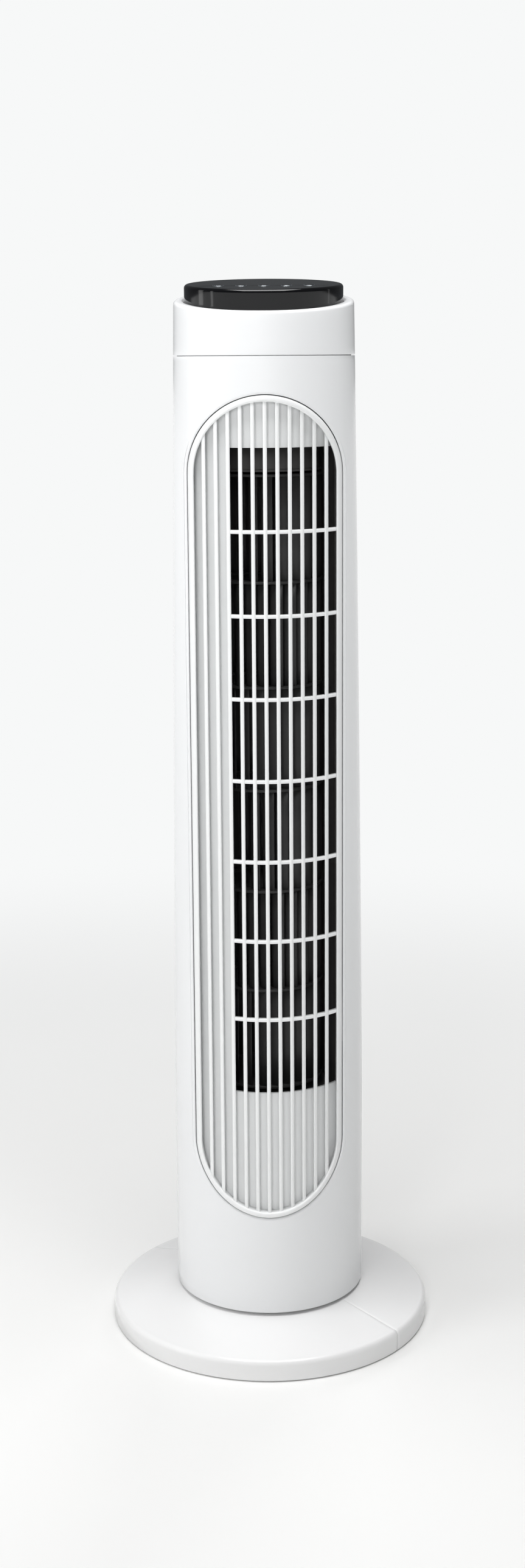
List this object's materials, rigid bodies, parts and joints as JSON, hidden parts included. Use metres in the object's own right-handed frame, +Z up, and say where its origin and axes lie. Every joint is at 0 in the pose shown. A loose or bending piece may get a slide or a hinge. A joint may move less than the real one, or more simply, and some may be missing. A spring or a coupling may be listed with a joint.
{
  "type": "tower fan",
  "caption": "Tower fan: round base, column that oscillates, oval outlet grille over a crossflow impeller, tilted control cap with round keys.",
  "frame": {"origin": "centre of the round base on the floor", "axes": "+Z up, -Y out of the column's front, +X to the column's left as seen from behind it (the viewer's right)"},
  "size_m": [0.25, 0.25, 0.8087],
  "materials": {
    "base_white_abs": "satin",
    "column_white_abs": "gloss",
    "grille_white_abs": "satin",
    "inner_white_abs": "matte",
    "cap_black_gloss": "gloss",
    "key_black": "satin",
    "duct_black_abs": "matte",
    "impeller_black": "satin",
    "rubber_black": "matte",
    "acetal_natural": "satin",
    "steel_zinc": "satin",
    "steel_pressed": "satin",
    "steel_laminated": "matte",
    "copper_enamelled": "satin",
    "bronze_sintered": "satin",
    "pvc_grey": "satin",
    "board_green": "satin",
    "switch_grey": "matte",
    "led_clear": "gloss"
  },
  "bodies": {
    "base": {"base_front_half": "base_white_abs", "base_rear_half": "base_white_abs", "base_screws": "steel_zinc", "rubber_feet": "rubber_black", "pedestal": "inner_white_abs", "glide_ring": "acetal_natural", "thrust_washer": "steel_zinc", "fixed_gear": "acetal_natural", "fixed_gear_screws": "steel_zinc", "cord_grommet": "rubber_black"},
    "column": {"turntable": "inner_white_abs", "turntable_screws": "steel_zinc", "osc_motor": "steel_pressed", "osc_motor_screws": "steel_zinc", "front_shell": "column_white_abs", "rear_shell": "column_white_abs", "shell_screws": "steel_zinc", "front_grille": "grille_white_abs", "grille_backing": "grille_white_abs", "lower_deck": "duct_black_abs", "upper_deck": "duct_black_abs", "deck_screws": "steel_zinc", "scroll_wall": "duct_black_abs", "vortex_tongue": "duct_black_abs", "motor_upper_shell": "steel_pressed", "motor_lower_shell": "steel_pressed", "motor_stator": "steel_laminated", "motor_windings": "copper_enamelled", "motor_bushes": "bronze_sintered", "motor_grommets": "rubber_black", "motor_screws": "steel_zinc", "run_capacitor": "duct_black_abs", "wiring_loom": "pvc_grey", "top_bush": "bronze_sintered", "top_bush_boot": "rubber_black", "top_ring": "column_white_abs", "ring_screws": "steel_zinc", "control_cap": "cap_black_gloss", "cap_screws": "steel_zinc", "control_board": "board_green", "key_switches": "switch_grey", "indicator_leds": "led_clear"},
    "osc_drive": {"osc_shaft": "steel_zinc", "osc_pinion": "acetal_natural"},
    "impeller": {"motor_shaft": "steel_zinc", "motor_rotor": "steel_laminated", "impeller": "impeller_black", "hub_grub_screw": "steel_zinc", "top_stub_shaft": "steel_zinc"},
    "key_1": {"key_1": "key_black"},
    "key_2": {"key_2": "key_black"},
    "key_3": {"key_3": "key_black"},
    "key_4": {"key_4": "key_black"},
    "key_5": {"key_5": "key_black"}
  },
  "joints": [
    {"name": "oscillation", "type": "hinge", "parent": "base", "child": "column", "pos_m": [0, 0, 0.035], "axis": [0, 0, 1], "range_deg": [-78.3, 1.7]},
    {"name": "impeller_spin", "type": "hinge", "parent": "column", "child": "impeller", "pos_m": [0, 0.006, 0.2], "axis": [0, 0, 1], "continuous": true},
    {"name": "pinion_spin", "type": "hinge", "parent": "column", "child": "osc_drive", "pos_m": [0, 0.03875, 0.048], "axis": [0, 0, 1], "range_deg": [-270.5, 7.8]},
    {"name": "key_1_press", "type": "slide", "parent": "column", "child": "key_1", "axis": [0, 0.0993, -0.9951], "range_m": [0, 0.001], "stiffness_N_per_m": 250},
    {"name": "key_2_press", "type": "slide", "parent": "column", "child": "key_2", "axis": [0, 0.0993, -0.9951], "range_m": [0, 0.001], "stiffness_N_per_m": 250},
    {"name": "key_3_press", "type": "slide", "parent": "column", "child": "key_3", "axis": [0, 0.0993, -0.9951], "range_m": [0, 0.001], "stiffness_N_per_m": 250},
    {"name": "key_4_press", "type": "slide", "parent": "column", "child": "key_4", "axis": [0, 0.0993, -0.9951], "range_m": [0, 0.001], "stiffness_N_per_m": 250},
    {"name": "key_5_press", "type": "slide", "parent": "column", "child": "key_5", "axis": [0, 0.0993, -0.9951], "range_m": [0, 0.001], "stiffness_N_per_m": 250}
  ],
  "couplings": [
    {"joint": "pinion_spin", "follows": "oscillation", "ratio": 3.4286}
  ]
}
